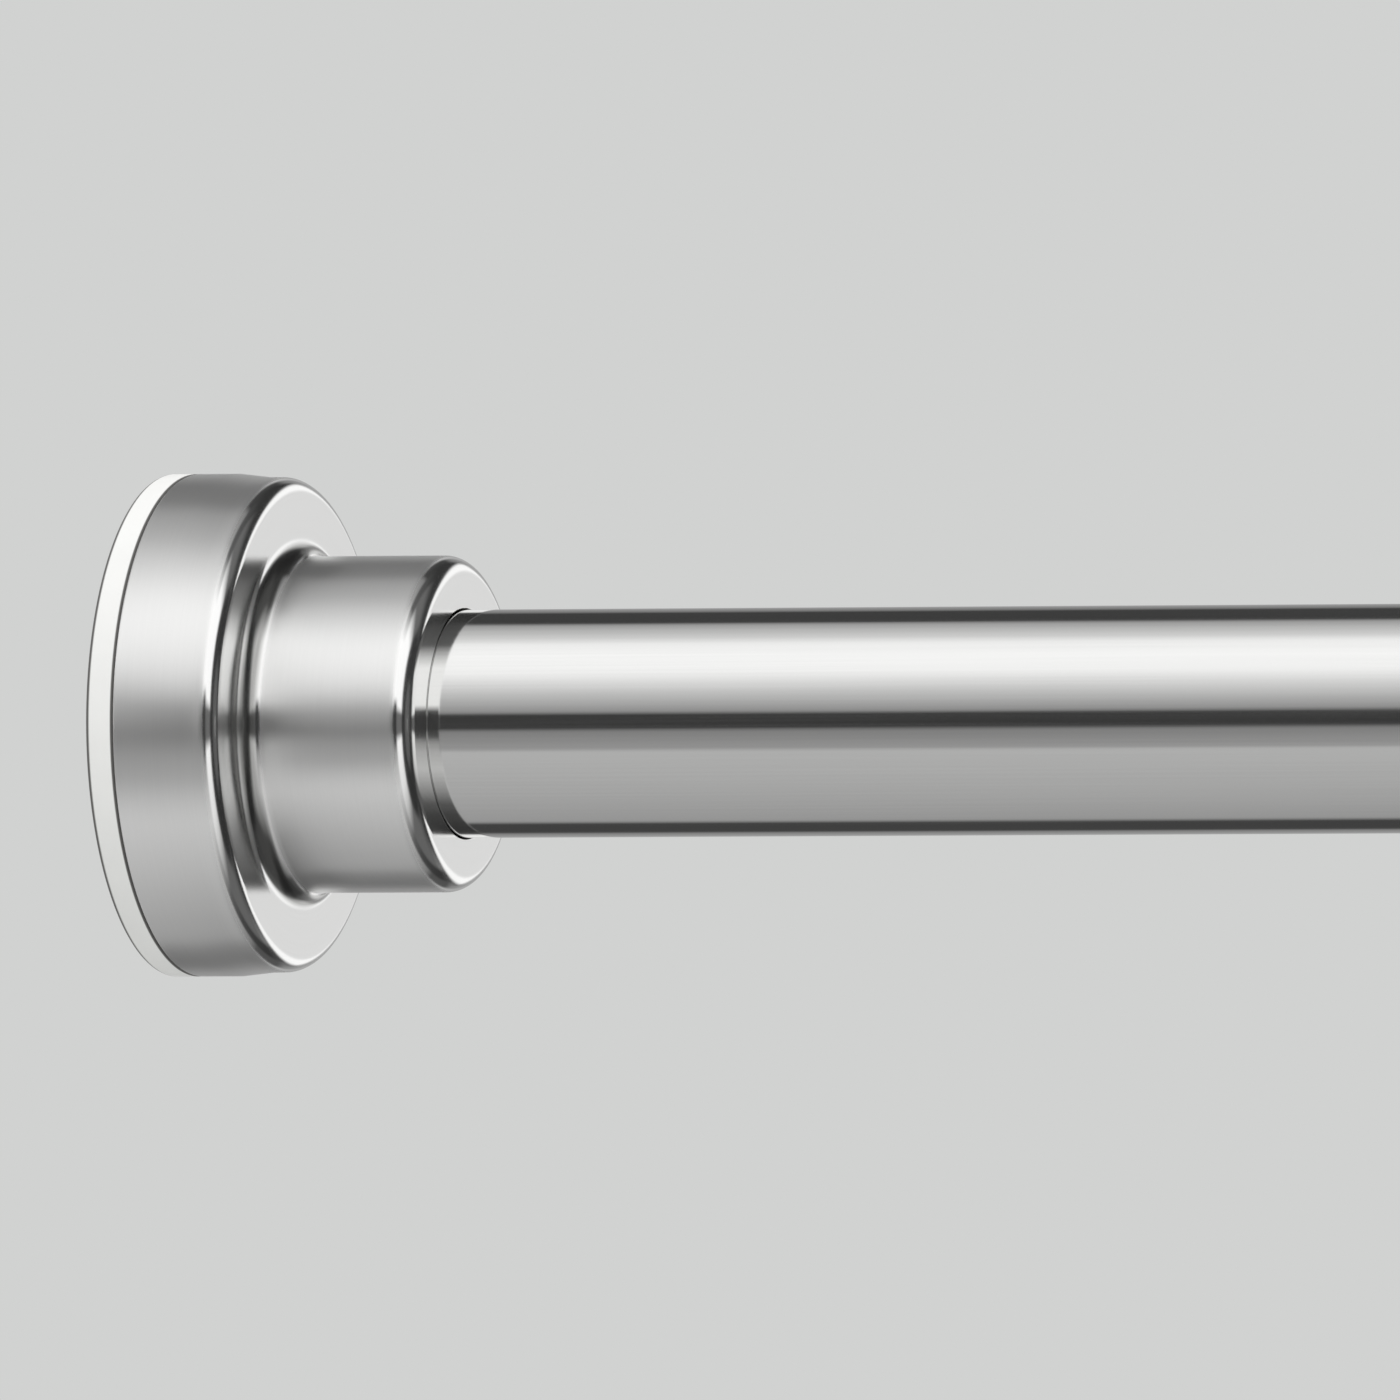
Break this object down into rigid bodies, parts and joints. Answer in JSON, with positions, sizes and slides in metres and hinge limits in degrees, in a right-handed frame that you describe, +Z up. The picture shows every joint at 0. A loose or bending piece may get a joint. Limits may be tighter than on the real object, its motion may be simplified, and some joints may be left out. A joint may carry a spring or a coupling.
{
  "type": "spring tension rod",
  "caption": "Telescopic stainless curtain rod held between two walls by an inner spring, with rubber pads and stepped round flange covers.",
  "frame": {"origin": "centre of the left wall face, where the left pad meets the wall", "axes": "+X along the rod to the right wall, +Y away from the side seen in the picture, +Z up"},
  "size_m": [0.69, 0.056, 0.056],
  "materials": {
    "polished_stainless": "drawn stainless steel sheet, mirror polished",
    "brushed_stainless": "stainless steel tube, finely polished along its length",
    "white_rubber": "soft white rubber, matt",
    "white_abs": "moulded, satin",
    "white_acetal": "moulded, waxy",
    "grey_nylon": "moulded, satin",
    "black_nylon": "moulded, satin",
    "zinc_steel": "bright zinc plate",
    "spring_steel": "hard-drawn wire, lightly oiled"
  },
  "bodies": {
    "outer_pole": {"left_wall_pad": "white_rubber", "left_foot": "white_abs", "left_foot_screw": "zinc_steel", "left_tube_plug": "grey_nylon", "outer_tube": "brushed_stainless", "mouth_bush": "white_abs"},
    "left_cover": {"left_flange_cover": "polished_stainless"},
    "glide": {"lock_glide": "white_acetal"},
    "spindle": {"spindle": "zinc_steel", "eccentric_cam": "black_nylon", "lock_end_washer": "zinc_steel", "lock_end_screw": "zinc_steel", "spring_washer": "zinc_steel", "tension_spring": "spring_steel", "spindle_washer": "zinc_steel", "spindle_nut": "zinc_steel"},
    "lock_ring": {"lock_ring": "white_acetal"},
    "inner_pole": {"pole_plug": "grey_nylon", "inner_tube": "brushed_stainless", "right_tube_plug": "grey_nylon", "right_foot": "white_abs", "right_foot_screw": "zinc_steel", "right_wall_pad": "white_rubber"},
    "right_cover": {"right_flange_cover": "polished_stainless"}
  },
  "joints": [
    {"name": "left_cover_slide", "type": "slide", "parent": "outer_pole", "child": "left_cover", "axis": [1, 0, 0], "range_m": [0, 0.025]},
    {"name": "telescope", "type": "slide", "parent": "outer_pole", "child": "glide", "axis": [1, 0, 0], "range_m": [0, 0.4]},
    {"name": "lock_twist", "type": "hinge", "parent": "glide", "child": "spindle", "pos_m": [0.0665, 0, 0], "axis": [1, 0, 0], "range_deg": [0, 30]},
    {"name": "ring_orbit", "type": "hinge", "parent": "spindle", "child": "lock_ring", "pos_m": [0.0497, 0, 0.0008], "axis": [1, 0, 0], "range_deg": [-30, 0]},
    {"name": "spring_travel", "type": "slide", "parent": "spindle", "child": "inner_pole", "axis": [1, 0, 0], "range_m": [-0.025, 0], "stiffness_N_per_m": 4500, "springref_m": 0.01, "deforming": ["tension_spring"]},
    {"name": "right_cover_slide", "type": "slide", "parent": "inner_pole", "child": "right_cover", "axis": [1, 0, 0], "range_m": [-0.025, 0]}
  ],
  "couplings": [
    {"joint": "ring_orbit", "follows": "lock_twist", "ratio": -1}
  ]
}
